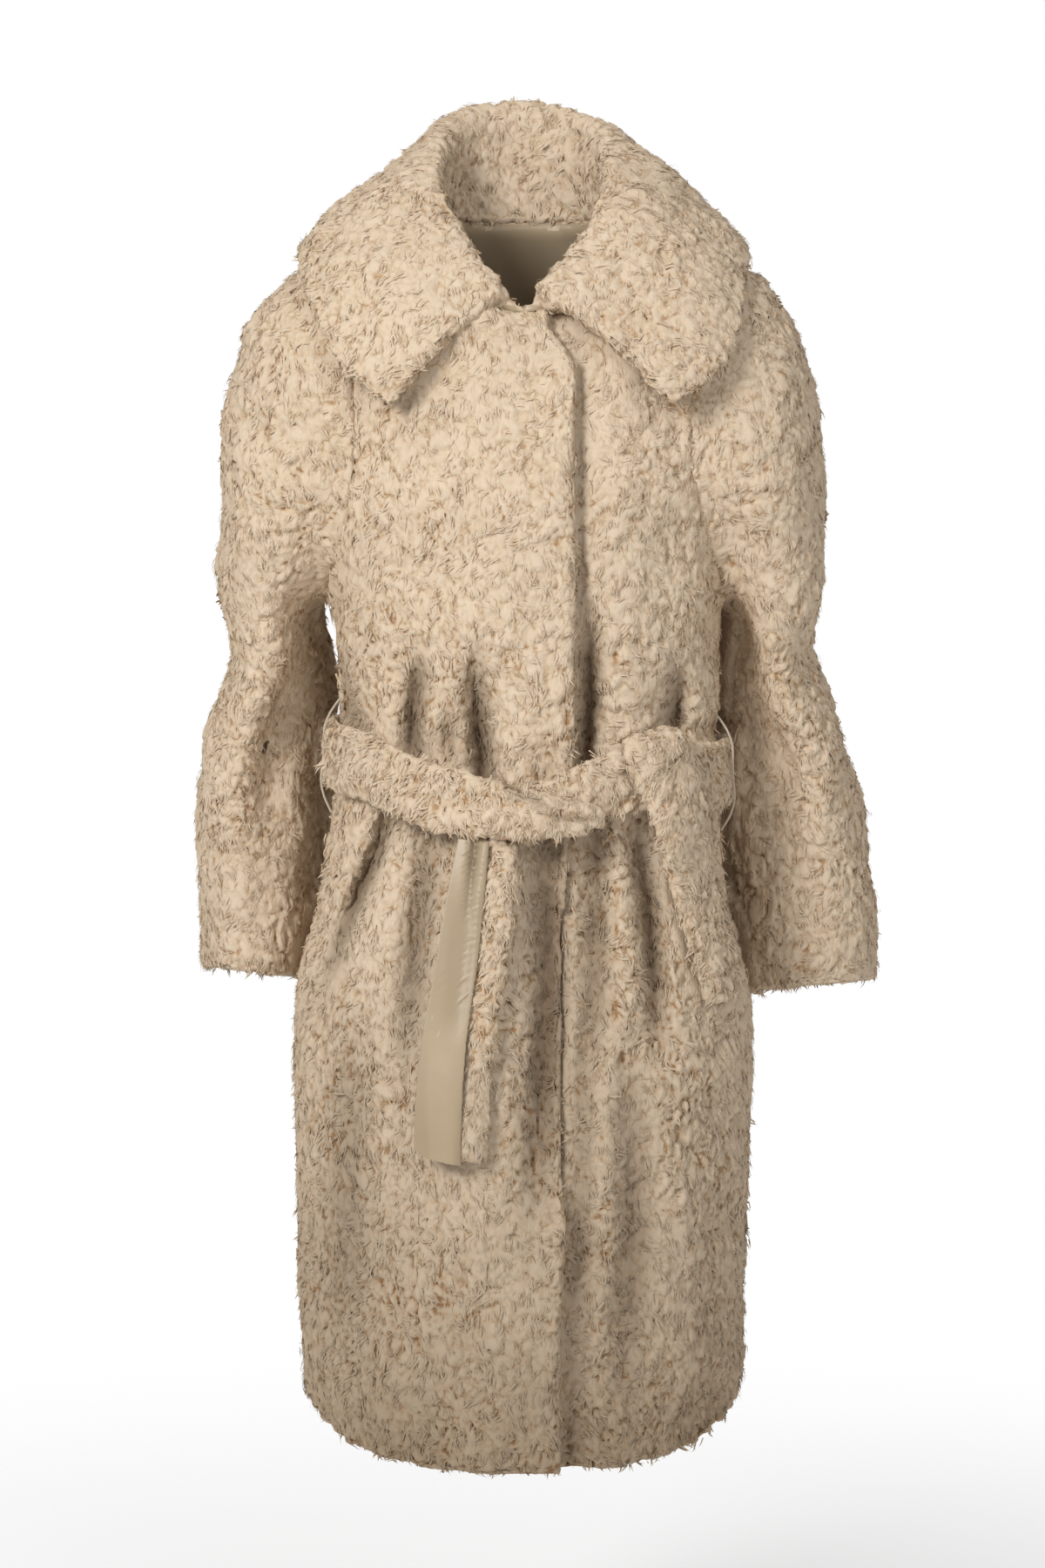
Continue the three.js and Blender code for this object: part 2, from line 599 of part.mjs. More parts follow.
// A flat strip of belt that hangs down the front of the body. The lining lies on top of it.
function hangingStrip(rows, lining) {
  const spaced = rows.map((row, i) => ({ ...row, at: i / (rows.length - 1) }));
  const column = (name) => through(spaced, "at", name);
  const [xAt, zAt, layerAt, halfAt, liningAt] = ["x", "z", "layer", "half", "lining"].map(column);
  const [outer, inner] = [[], []];
  const steps = 2 * (rows.length - 1);
  for (let i = 0; i <= steps; i++) {
    const share = 1 - (i / steps) * (lining ? 0.985 : 1);
    const [x, z] = [xAt(share), zAt(share)];
    const down = vector(xAt(share + 0.02) - xAt(share - 0.02), 0, zAt(share + 0.02) - zAt(share - 0.02));
    const side = vector(-down.z, 0, down.x).normalize();
    const edges = [-1, 0, 1].map((edge) => x + edge * halfAt(share) * side.x);
    const level = Math.max(...edges.map((edgeX) => beltLift(edgeX, true, layerAt(share))));
    const middle = onBody(angleAtX(x, z), z, level, false);
    const across = onBody(angleAtX(x + 3 * side.x, z + 3 * side.z), z + 3 * side.z, level, false);
    across.sub(middle).normalize();
    const out = bodyNormal(angleAtX(x, z), z);
    outer.push([]);
    inner.push([]);
    for (const edge of lining ? LINING_PROFILE : BELT_PROFILE) {
      const reach = lining ? edge.across * liningAt(share) + LINING_SHIFT : edge.across * halfAt(share);
      const base = middle.clone().addScaledVector(across, reach);
      const low = lining ? BELT_CLOTH + CLEAR : 0;
      const high = lining ? low + BELT_LINING : edge.thick * BELT_CLOTH;
      outer[i].push(base.clone().addScaledVector(out, high));
      inner[i].push(base.clone().addScaledVector(out, low));
    }
  }
  return solidOf(wall(outer, inner, false));
}

// A sewn thread loop round the belt near a side seam
function threadLoop(side, centre) {
  const angle = radians(side * 75);
  const belt = BELT_LIFT + BELT_CLOTH;
  const bow = [
    { above: 52, lift: THREAD + 0.1 },
    { above: 40, lift: belt * 0.75 },
    { above: 26, lift: belt + 2.4 },
    { above: 0, lift: belt + 3 },
    { above: -26, lift: belt + 2.4 },
    { above: -40, lift: belt * 0.75 },
    { above: -52, lift: THREAD + 0.1 },
  ];
  const path = new THREE.CatmullRomCurve3(bow.map(({ above, lift }) => onBody(angle, centre + above, lift)));
  const shape = new THREE.Shape().absarc(0, 0, THREAD, 0, 2 * Math.PI);
  return solidOf(new THREE.ExtrudeGeometry(shape, { steps: 14, curveSegments: 3, extrudePath: path }));
}

// Assembly
const fur = { color: 0xd9c4a8, roughness: 0.95, metalness: 0 };
const satin = { color: 0xb09c7c, roughness: 0.45, metalness: 0 };
const thread = { color: 0xe6dfd0, roughness: 0.8, metalness: 0 };
const coat = new THREE.Group();

function add(name, solid, finish) {
  const mesh = new THREE.Mesh(geometryOf(solid), new THREE.MeshStandardMaterial(finish));
  mesh.name = name;
  coat.add(mesh);
}

const hollow = bodyHollow();
const sleeves = {};
for (const side of ["right", "left"]) {
  const tube = wall(sleeveRings(side, 0), sleeveRings(side, CLOTH), true);
  sleeves[side] = {
    tube: solidOf(tube).subtract(hollow),
    room: plug(sleeveRings(side, -ARMHOLE)),
  };
}

const upperFront = solidOf(wall(panelGrid(panels[0], -SEAM), panelGrid(panels[0], CLOTH + SEAM), false));
for (const panel of panels) {
  const cut = panelWall(panel).subtract(sleeves.right.room).subtract(sleeves.left.room);
  add(panel.name, panel.name === "front_left" ? cut.subtract(upperFront) : cut, fur);
}
add("sleeve_right", sleeves.right.tube, fur);
add("sleeve_left", sleeves.left.tube, fur);

const underCollar = [...panelBlocks, sleeves.right.room, sleeves.left.room];
add("collar", underCollar.reduce((solid, block) => solid.subtract(block), collarSolid()), fur);

add("belt", beltWrap(), fur);
add("belt_end_right", hangingStrip(rightEnd, false), fur);
add("belt_end_right_lining", hangingStrip(rightEnd, true), satin);
add("belt_end_left", hangingStrip(leftEnd, false), fur);
add("thread_loop_right", threadLoop(-1, -492), thread);
add("thread_loop_left", threadLoop(1, -508), thread);

export default coat;
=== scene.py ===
"""A long faux fur coat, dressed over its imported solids.

Each solid of cloth becomes a thinner shell, which is the backing, with pressed tufts and short hairs
on the side that shows. Metres, +Z up, the front faces -Y and +X is the wearer's left.
"""
import math

import bpy
import numpy as np
from mathutils import Matrix, Vector
from mathutils.bvhtree import BVHTree
from mathutils.kdtree import KDTree


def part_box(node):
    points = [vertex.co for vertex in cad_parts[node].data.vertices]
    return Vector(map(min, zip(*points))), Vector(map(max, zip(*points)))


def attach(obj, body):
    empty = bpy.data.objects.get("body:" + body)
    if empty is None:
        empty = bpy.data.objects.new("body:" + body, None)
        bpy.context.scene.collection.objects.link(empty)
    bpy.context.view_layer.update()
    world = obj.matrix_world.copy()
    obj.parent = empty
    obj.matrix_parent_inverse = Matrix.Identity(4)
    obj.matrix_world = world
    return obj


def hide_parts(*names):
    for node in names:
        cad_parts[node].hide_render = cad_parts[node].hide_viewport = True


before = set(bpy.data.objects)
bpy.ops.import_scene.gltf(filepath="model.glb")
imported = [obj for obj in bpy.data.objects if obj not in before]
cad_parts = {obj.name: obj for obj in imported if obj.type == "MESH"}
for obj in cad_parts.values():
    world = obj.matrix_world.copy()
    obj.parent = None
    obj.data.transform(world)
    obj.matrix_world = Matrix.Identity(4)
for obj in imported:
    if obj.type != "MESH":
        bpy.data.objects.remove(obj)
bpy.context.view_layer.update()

MM = 0.001
SEED = 20
CLOTH_GRID = 6.7 * MM  # size of a shell's faces, which are halved where the pile shows
BELT_GRID = 3.6 * MM
PILE = 5.5 * MM  # how far the backing lies under the pile's tips
BELT_PILE = 0.6 * MM
SATIN_ROOM = 4.0 * MM  # how far the fur end's cloth lies back under its satin
SEAM_REACH = 9 * MM  # cloth nearer than this to the piece it is sewn to keeps its edge
SEAM_PULL = 5 * MM  # and nearer than this it is drawn onto it, so that the seam is shut
LINING_SHARE = 0.35  # of the faces on the smooth inner side are kept
SMOOTHING = 5  # rounds that take the solids' corners off a shell

# Tufts: the matted relief that is pressed into the shells
TUFT_WIDTH = 9.5 * MM
TUFT_STRETCH = 0.5  # heights are shortened this much where tufts are laid out, so tufts are longer than wide
TUFT_BEND = 5 * MM  # how far tufts wind from side to side
TUFT_HEIGHT = 5.5 * MM
TUFT_STEP = 1.3 * MM  # how much higher one tuft lies than the next
TUFT_SLOPE = 1.6 * MM  # how much higher a tuft's lower end lies than its root
CREVICE = 1.7 * MM  # how far a crevice's side reaches
LOCK_SIZE = 8.5 * MM  # of the fine locks that are drawn on the tufts
LOCK_BEND = 14 * MM
SMOOTH_HEIGHT = -0.1  # above this the pile is smoothest
SMOOTH_HEIGHT_RUN = 0.5  # and this much lower it is as matted as it gets

# Wisps: fine hairs that lie over the tufts, a few drawn together at their tips
WISP_AREA = 74e-6
WISP_HAIRS = 4
WISP_SPREAD = 2.2 * MM
HAIR_LENGTH = 9.0 * MM
HAIR_WIDTH = 1.3 * MM
BELT_FLUFF = 1.0  # the belt's hairs are this much longer, and they stand up more
HAIR_KINDS = 24
SWIRL_SIZE = 34 * MM  # size of the patches in which hairs lie the same way
SWIRL_TURN = math.radians(30)
STRAY_TURN = math.radians(24)

# How far the pile looks for a piece of cloth that lies over it
COVER = 14 * MM
COLLAR_COVER = 75 * MM

# The arm inside a sleeve, from the armhole to the cuff, for the wearer's left
ARM_LINE = [
    (0.120, 0.002, -0.180),
    (0.190, 0.004, -0.215),
    (0.228, 0.012, -0.300),
    (0.232, 0.032, -0.402),
    (0.242, 0.056, -0.482),
    (0.256, 0.080, -0.600),
    (0.270, 0.092, -0.740),
]

# Creases in millimetres. The path runs in x and height over the front or the back of the coat.
CREASES = [
    {"on": "front", "path": [(-106, -505), (-132, -579), (-152, -624), (-182, -705)], "deep": 27, "wide": 9},
    {"on": "front", "path": [(124, -520), (142, -587), (160, -632), (182, -700)], "deep": 18, "wide": 9},
    {"on": "front", "path": [(-176, -385), (-160, -440), (-130, -510)], "deep": 14, "wide": 12},
    {"on": "front", "path": [(-90, -395), (-98, -455), (-95, -530)], "deep": 25, "wide": 10},
    {"on": "front", "path": [(-45, -395), (-38, -470), (-30, -560)], "deep": 30, "wide": 11},
    {"on": "front", "path": [(-66, -436), (-64, -500)], "deep": 11, "wide": 8},
    {"on": "front", "path": [(60, -360), (60, -440), (54, -535)], "deep": 26, "wide": 10},
    {"on": "front", "path": [(140, -405), (132, -510)], "deep": 20, "wide": 10},
    {"on": "front", "path": [(22, -490), (24, -700), (12, -910)], "deep": 30, "wide": 18},
    {"on": "front", "path": [(62, -510), (66, -640), (60, -790)], "deep": 19, "wide": 12},
    {"on": "front", "path": [(100, -540), (114, -640), (121, -750)], "deep": 27, "wide": 11},
    {"on": "front", "path": [(-78, -510), (-92, -640), (-102, -760)], "deep": 17, "wide": 14},
    {"on": "front", "path": [(-150, -700), (-160, -860), (-158, -1020)], "deep": 11, "wide": 22},
    {"on": "front", "path": [(92, -740), (100, -900), (90, -1080)], "deep": 16, "wide": 18},
    {"on": "front", "path": [(52, -60), (52, -300), (51, -540)], "deep": 5, "wide": 6},
    {"on": "front", "path": [(56, -430), (54, -800), (44, -1260)], "deep": 10, "wide": 12},
    {"on": "belt", "path": [(-44, -490), (0, -519), (38, -541), (80, -541)], "deep": 9, "wide": 4.5},
    {"on": "back", "path": [(-128, -410), (-122, -486)], "deep": 13, "wide": 10},
    {"on": "back", "path": [(-86, -432), (-80, -488)], "deep": 15, "wide": 9},
    {"on": "back", "path": [(-34, -400), (-38, -488)], "deep": 14, "wide": 11},
    {"on": "back", "path": [(18, -442), (16, -488)], "deep": 12, "wide": 8},
    {"on": "back", "path": [(66, -405), (58, -488)], "deep": 16, "wide": 10},
    {"on": "back", "path": [(112, -440), (106, -488)], "deep": 13, "wide": 9},
    {"on": "back", "path": [(-116, -530), (-134, -650)], "deep": 15, "wide": 11},
    {"on": "back", "path": [(-62, -530), (-70, -602)], "deep": 13, "wide": 10},
    {"on": "back", "path": [(-8, -530), (-4, -690)], "deep": 15, "wide": 12},
    {"on": "back", "path": [(52, -530), (62, -612)], "deep": 13, "wide": 10},
    {"on": "back", "path": [(104, -530), (124, -668)], "deep": 16, "wide": 11},
]

# Each piece of cloth: its cut's width and length in metres, the share of that box which it fills, how it
# is held and by what
CUTS = {
    "front_right": {"flat": (0.31, 1.15), "share": 0.86, "held": "hung", "on": ["collar"]},
    "front_left": {"flat": (0.30, 1.15), "share": 0.83, "held": "hung", "on": ["collar"]},
    "back": {"flat": (0.56, 1.16), "share": 0.84, "held": "hung", "on": ["collar"]},
    "sleeve_right": {"flat": (0.50, 0.60), "share": 0.8, "held": "hung", "on": ["front_right", "back"]},
    "sleeve_left": {"flat": (0.52, 0.61), "share": 0.79, "held": "hung", "on": ["front_left", "back"]},
    "collar": {"flat": (0.80, 0.30), "share": 0.79, "held": "folded", "on": ["back"]},
    "belt": {"flat": (0.062, 1.10), "share": 1.0, "held": "stretched", "on": ["back"]},
    "belt_end_right": {"flat": (0.064, 0.277), "share": 1.0, "held": "hung", "on": ["belt"]},
    "belt_end_left": {"flat": (0.064, 0.25), "share": 1.0, "held": "hung", "on": ["belt"]},
}


# Chance and soft noise


def chance(name):
    """A random source of its own for each piece, the same on every run."""
    return np.random.default_rng([SEED, *name.encode()])


def soft_noise(points, size, name):
    """A smooth value from about -1 to 1 at each point, which changes over that size."""
    source = chance(name)
    total = np.zeros(len(points))
    waves = 7
    for _ in range(waves):
        way = source.normal(size=3)
        way *= 2 * math.pi / (size * source.uniform(1.3, 2.6) * np.linalg.norm(way))
        total += np.sin(points @ way + source.uniform(0, 2 * math.pi))
    return total / math.sqrt(waves / 2)


def unit(vectors):
    return vectors / np.maximum(np.linalg.norm(vectors, axis=-1, keepdims=True), 1e-9)


# Shader maths


class Socket:
    """A shader value that can be added, taken away, multiplied and raised to a power."""

    def __init__(self, tree, link):
        self.tree = tree
        self.link = link

    def maths(self, operation, first, second):
        node = self.tree.nodes.new("ShaderNodeMath")
        node.operation = operation
        for slot, value in zip(node.inputs, (first, second)):
            put(self.tree, slot, value)
        return Socket(self.tree, node.outputs[0])

    def __add__(self, other):
        return self.maths("ADD", self, other)

    def __sub__(self, other):
        return self.maths("SUBTRACT", self, other)

    def __rsub__(self, other):
        return self.maths("SUBTRACT", other, self)

    def __mul__(self, other):
        return self.maths("MULTIPLY", self, other)

    def __pow__(self, other):
        return self.maths("POWER", self, other)

    __radd__ = __add__
    __rmul__ = __mul__


def put(tree, slot, value):
    """Sets a socket's own value, or links another node to it."""
    if isinstance(value, Socket):
        tree.links.new(value.link, slot)
    else:
        slot.default_value = value


SOFT_STEP = {"interpolation_type": "SMOOTHSTEP"}


class Finish:
    """A material and its nodes."""

    def __init__(self, name):
        self.material = bpy.data.materials.new(name)
        self.material.use_nodes = True
        self.tree = self.material.node_tree
        self.shader = self.tree.nodes["Principled BSDF"]

    def node(self, kind, settings=None, output=0, **values):
        """Any other node, with its settings, and the values or links of its sockets."""
        node = self.tree.nodes.new("ShaderNode" + kind)
        for setting, value in (settings or {}).items():
            setattr(node, setting, value)
        for socket, value in values.items():
            put(self.tree, node.inputs[socket.replace("_", " ")], value)
        return Socket(self.tree, node.outputs[output])

    def place(self, stretch=(1.0, 1.0, 1.0)):
        """Each point's place on the coat, with its three parts stretched."""
        where = self.node("TexCoord", output="Object")
        spread = self.node("VectorMath", {"operation": "MULTIPLY"}, Vector=where)
        spread.link.node.inputs[1].default_value = stretch
        return spread

    def noise(self, scale, detail=2.0, roughness=0.5, stretch=(1.0, 1.0, 1.0), distortion=0.0):
        return self.node(
            "TexNoise",
            Vector=self.place(stretch),
            Scale=scale,
            Detail=detail,
            Roughness=roughness,
            Distortion=distortion,
        )

    def locks(self, size, bend):
        """Winding lines between small locks of hair: 0 in a line and 1 on a lock."""
        wind = self.node("TexNoise", output="Color", Vector=self.place(), Scale=70.0, Detail=2.0)
        spread = self.node("VectorMath", {"operation": "MULTIPLY_ADD"}, Vector=wind)
        spread.link.node.inputs[1].default_value = (bend, bend, bend)
        put(self.tree, spread.link.node.inputs[2], self.place((1.0, 1.0, 0.5)))
        cells = self.node("TexVoronoi", {"feature": "DISTANCE_TO_EDGE"}, Vector=spread, Scale=1 / size)
        line = self.node("MapRange", SOFT_STEP, Value=cells, From_Min=0.0, From_Max=0.2)
        where = self.node("MapRange", Value=self.noise(90.0, 2.0), From_Min=0.36, From_Max=0.6)
        return 1 - (1 - line) * where

    def attribute(self, name):
        return self.node("Attribute", {"attribute_name": name}, output="Fac")

    def blend(self, share, first, second):
        """One colour turning into another."""
        node = self.tree.nodes.new("ShaderNodeMix")
        node.data_type = "RGBA"
        for slot, value in ((node.inputs[0], share), (node.inputs[6], first), (node.inputs[7], second)):
            put(self.tree, slot, value if isinstance(value, (Socket, float)) else (*value, 1.0))
        return Socket(self.tree, node.outputs[2])

    def tinted(self, colour, tint):
        """A colour multiplied by another."""
        node = self.tree.nodes.new("ShaderNodeMix")
        node.data_type = "RGBA"
        node.blend_type = "MULTIPLY"
        node.inputs[0].default_value = 1.0
        put(self.tree, node.inputs[6], colour)
        node.inputs[7].default_value = (*tint, 1.0)
        return Socket(self.tree, node.outputs[2])

    def bump(self, height, strength, distance):
        return self.node("Bump", Height=height, Strength=strength, Distance=distance)

    def surface(self, **values):
        for socket, value in values.items():
            put(self.tree, self.shader.inputs[socket.replace("_", " ")], value)
        return self.material


# Linear colours
PILE_TIP = (0.70, 0.57, 0.425)
# The next colour is the pile's darker tone: partly painted shade down in the tufts and partly the streaked
# tone of its hairs.
PILE_MIDDLE = (0.63, 0.485, 0.335)
# The next colour is painted shade, deep in the crevices between tufts and locks and at the hairs' roots.
PILE_CREVICE_SHADE = (0.40, 0.225, 0.10)
# The next colour darkens and greys the pile towards the hem: partly painted shade of the light falling off
# there and partly a greyer fur.
PILE_LOW = (0.44, 0.41, 0.375)
# The next colour is painted shade in the creases.
PILE_FOLD_SHADE = (0.13, 0.085, 0.05)
SATIN = (0.36, 0.27, 0.165)
SATIN_PALE = (0.49, 0.385, 0.26)
# The next colour is painted shade in the satin's and lining's creases.
SATIN_FOLD_SHADE = (0.42, 0.36, 0.28)
THREAD = (0.60, 0.50, 0.37)
HAIR = (1.0, 1.0, 0.3)  # hairs run down the coat
HEM_HEIGHT = -1.12
WAIST_HEIGHT = -0.45


def pile_finish():
    """Matted pile: warm painted shade in the crevices, pale on the tufts, and towards the hem darker and
    greyer, partly painted shade and partly a greyer fur.
    """
    look = Finish("matted_pile")
    tip = look.attribute("tip")
    tint = look.attribute("tint")
    ragged = look.noise(420.0, 3.0, 0.6, HAIR, 1.2)
    wisps = look.noise(150.0, 4.0, 0.62, HAIR, 2.0)
    locks = look.locks(LOCK_SIZE, LOCK_BEND)
    # Depth falls in the crevices between tufts, in the lines between locks and at the hairs' roots, and the
    # colours below turn it into painted shade; the hair streaks are the fur's own texture.
    depth = tip + ragged * 0.2 + wisps * 0.3 + locks * 0.55 - 0.72
    lower = look.node("MapRange", SOFT_STEP, Value=depth, From_Min=0.1, From_Max=0.62)
    upper = look.node("MapRange", SOFT_STEP, Value=depth, From_Min=0.5, From_Max=1.1)
    crevice = look.blend(lower, PILE_CREVICE_SHADE, PILE_MIDDLE)
    tuft = look.blend(upper * 0.85 + tint * 0.15, crevice, PILE_TIP)
    height = look.node("SeparateXYZ", output="Z", Vector=look.place())
    low = look.node("MapRange", Value=height, From_Min=WAIST_HEIGHT, From_Max=HEM_HEIGHT)
    patches = look.noise(11.0, 3.0)
    # Towards the hem this is partly painted shade of the light falling off and partly a greyer fur, with
    # random patches of tone.
    shade = low * low * 0.95 + patches * 0.4 - 0.17
    varied = look.blend(shade, tuft, look.tinted(tuft, PILE_LOW))
    # Painted shade in the creases, from the fold value.
    folded = look.blend(look.attribute("fold") * 0.8, varied, look.tinted(varied, PILE_FOLD_SHADE))
    fine = depth * 0.7 + ragged * 0.3
    return look.surface(
        Base_Color=folded,
        Roughness=0.85,
        Specular_IOR_Level=0.2,
        Sheen_Weight=0.4,
        Sheen_Roughness=0.5,
        Sheen_Tint=(0.95, 0.74, 0.5, 1.0),
        Normal=look.bump(fine, 0.7, 2.2 * MM),
    )


def satin_finish(name):
    """Smooth satin: a fine weave, a slow change of shade along it, and painted shade in its creases from the
    fold value.
    """
    look = Finish(name)
    shade = look.noise(9.0, 3.0, 0.55)
    weave = look.node("TexWave", {"bands_direction": "DIAGONAL"}, Vector=look.place(), Scale=700.0)
    slubs = look.noise(60.0, 4.0, 0.6)
    height = weave * 0.15 + slubs * 0.8
    cloth = look.blend(shade, SATIN, SATIN_PALE)
    return look.surface(
        Base_Color=look.blend(look.attribute("fold"), cloth, look.tinted(cloth, SATIN_FOLD_SHADE)),
        Roughness=slubs * 0.12 + 0.3,
        Specular_IOR_Level=0.45,
        Sheen_Weight=0.15,
        Normal=look.bump(height, 0.25, 0.8 * MM),
    )


def thread_finish():
    look = Finish("loop_thread")
    bands = {"bands_direction": "Z"}
    strands = look.node("TexWave", bands, Vector=look.place(), Scale=450.0, Distortion=2.0)
    return look.surface(
        Base_Color=look.blend(strands, (0.55, 0.48, 0.38), THREAD),
        Roughness=0.7,
        Normal=look.bump(strands, 0.6, 0.4 * MM),
    )


FINISHES = {
    "pile": pile_finish(),
    "lining": satin_finish("satin_lining"),
    "satin": satin_finish("belt_satin"),
    "thread": thread_finish(),
}


# Shells of cloth


def select_only(piece):
    bpy.ops.object.select_all(action="DESELECT")
    piece.select_set(True)
    bpy.context.view_layer.objects.active = piece


def apply_modifier(piece, name, kind, **settings):
    modifier = piece.modifiers.new(name, kind)
    for setting, value in settings.items():
        setattr(modifier, setting, value)
    select_only(piece)
    bpy.ops.object.modifier_apply(modifier=modifier.name)


def merged_copy(node, name):
    """A copy of a solid's mesh with its loose triangles joined."""
    piece = bpy.data.objects.new(name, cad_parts[node].data.copy())
    piece.data.name = name
    piece.data.materials.clear()
    bpy.context.collection.objects.link(piece)
    select_only(piece)
    bpy.ops.object.mode_set(mode="EDIT")
    bpy.ops.mesh.select_all(action="SELECT")
    bpy.ops.mesh.remove_doubles(threshold=0.01 * MM)
    bpy.ops.object.mode_set(mode="OBJECT")
    return piece


def points_of(piece):
    points = np.empty(len(piece.data.vertices) * 3)
    piece.data.vertices.foreach_get("co", points)
    return points.reshape(-1, 3)


def normals_of(piece):
    normals = np.empty(len(piece.data.vertices) * 3, np.float32)
    piece.data.vertex_normals.foreach_get("vector", normals)
    return normals.reshape(-1, 3).astype(float)


def move_points(piece, points):
    piece.data.vertices.foreach_set("co", points.ravel())
    piece.data.update()


def nearest_on_line(points, line):
    """For each point, the nearest place on a line of points, how far it is, and its share of the way."""
    best = np.full(len(points), np.inf)
    place = np.zeros_like(points)
    share = np.zeros(len(points))
    pieces = len(line) - 1
    for i in range(pieces):
        start, end = np.array(line[i]), np.array(line[i + 1])
        along = end - start
        part = np.clip((points - start) @ along / (along @ along), 0, 1)
        spot = start + part[:, None] * along
        away = np.linalg.norm(points - spot, axis=1)
        closer = away < best
        best[closer] = away[closer]
        place[closer] = spot[closer]
        share[closer] = (i + part[closer]) / pieces
    return place, best, share


def outward(node, points):
    """The way out of the hollow that a piece of cloth goes round."""
    if node.startswith("belt_end"):
        return np.tile((0.0, -1.0, 0.0), (len(points), 1))
    if node.startswith("sleeve"):
        side = -1 if node.endswith("right") else 1
        arm = [(side * x, y, z) for x, y, z in ARM_LINE]
        return unit(points - nearest_on_line(points, arm)[0])
    way = points * (1.0, 1.3, 0.0)
    shoulder = np.clip((points[:, 2] + 0.09) / 0.06, 0, 1)
    way[:, 2] = shoulder * 0.25
    return unit(way)


def tree_of(nodes):
    """One search tree over several solids."""
    points = []
    faces = []
    for node in nodes:
        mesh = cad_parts[node].data
        start = len(points)
        points += [v.co.copy() for v in mesh.vertices]
        faces += [[start + i for i in face.vertices] for face in mesh.polygons]
    return BVHTree.FromPolygons(points, faces)


def covered(points, normals, tree, reach, lift=2 * MM):
    """Which points have cloth over them, within reach."""
    hit = np.zeros(len(points), bool)
    for i, (point, normal) in enumerate(zip(points, normals)):
        start = Vector(point + normal * lift)
        hit[i] = tree.ray_cast(start, Vector(normal), reach)[0] is not None
    return hit


def facing(node, points, normals, seam_turn):
    """From 0 on the side that lies against the wearer to 1 on the side with the pile.

    A seam's edge turns away from the outside by more than seam_turn and meets the next piece.
    """
    if node == "collar":
        out = unit(normals + outward(node, points) * 0.6)
        return 1.0 - covered(points, out, WHOLE_COAT, COLLAR_COVER, PILE + 6 * MM)
    turned = np.einsum("ij,ij->i", normals, outward(node, points))
    shows = np.clip((turned + 0.5) / 0.8, 0, 1)
    edge = turned < seam_turn
    shows[edge] *= ~covered(points[edge], normals[edge], NEIGHBOURS[node], 14 * MM)
    return shows


def seam_share(node, points):
    """From 0 away from the next piece of cloth to 1 where the two are sewn together."""
    away = [SEWN_TREES[node].find_nearest(Vector(point), SEAM_REACH)[3] for point in points]
    return np.array([0.0 if distance is None else 1 - distance / SEAM_REACH for distance in away])


def draw_to_seam(node, points):
    """Moves a sewn edge onto the piece that it is sewn to."""
    for i, point in enumerate(points):
        place = SEWN_TREES[node].find_nearest(Vector(point), SEAM_PULL)[0]
        if place is not None:
            points[i] = place
    return points


def creases_of(node):
    """The creases that run over a piece of cloth."""
    sides = {"belt": ["belt"], "back": ["back"], "front_right": ["front"], "front_left": ["front"]}
    return [crease for crease in CREASES if crease["on"] in sides.get(node, [])]


def crease_share(crease, points):
    """From 0 away from a crease to 1 on its line, and less towards the line's ends."""
    side = 1 if crease["on"] == "back" else -1
    path = [(x * MM, 0.0, z * MM) for x, z in crease["path"]]
    _, away, along = nearest_on_line(points * (1.0, 0.0, 1.0), path)
    ends = np.sin(math.pi * along.clip(0.02, 0.98)) ** 0.7
    return np.exp(-((away / (crease["wide"] * MM)) ** 2)) * ends * (points[:, 1] * side > 0.03)


def press_creases(node, points):
    """Moves points inwards along each crease, most at its middle."""
    for crease in creases_of(node):
        side = 1 if crease["on"] == "back" else -1
        points[:, 1] -= side * crease["deep"] * MM * crease_share(crease, points)
    return points


def painted_fold_shade(node, points):
    """How deep in a crease each point lies, from 0 to 1, kept as the fold value that paints shade into the
    crease.
    """
    depth = np.zeros(len(points))
    for crease in creases_of(node):
        depth = np.maximum(depth, crease_share(crease, points) * min(1.0, 0.15 + crease["deep"] / 32))
    return depth


def pile_shows(node, points, normals, seam_turn):
    """Where the pile can be seen, from 0 to 1."""
    shows = facing(node, points, normals, seam_turn)
    lift = PILE + 6 * MM if node == "collar" else 2 * MM
    seen = shows > 0.3
    shows[seen] *= ~covered(points[seen], normals[seen], OVER[node], COVER, lift)
    return shows


def halve_faces(piece, chosen):
    """Divides the chosen faces in four."""
    select_only(piece)
    bpy.ops.object.mode_set(mode="EDIT")
    bpy.ops.mesh.select_mode(type="FACE")
    bpy.ops.mesh.select_all(action="DESELECT")
    bpy.ops.object.mode_set(mode="OBJECT")
    piece.data.polygons.foreach_set("select", chosen)
    bpy.ops.object.mode_set(mode="EDIT")
    bpy.ops.mesh.subdivide(number_cuts=1)
    bpy.ops.object.mode_set(mode="OBJECT")


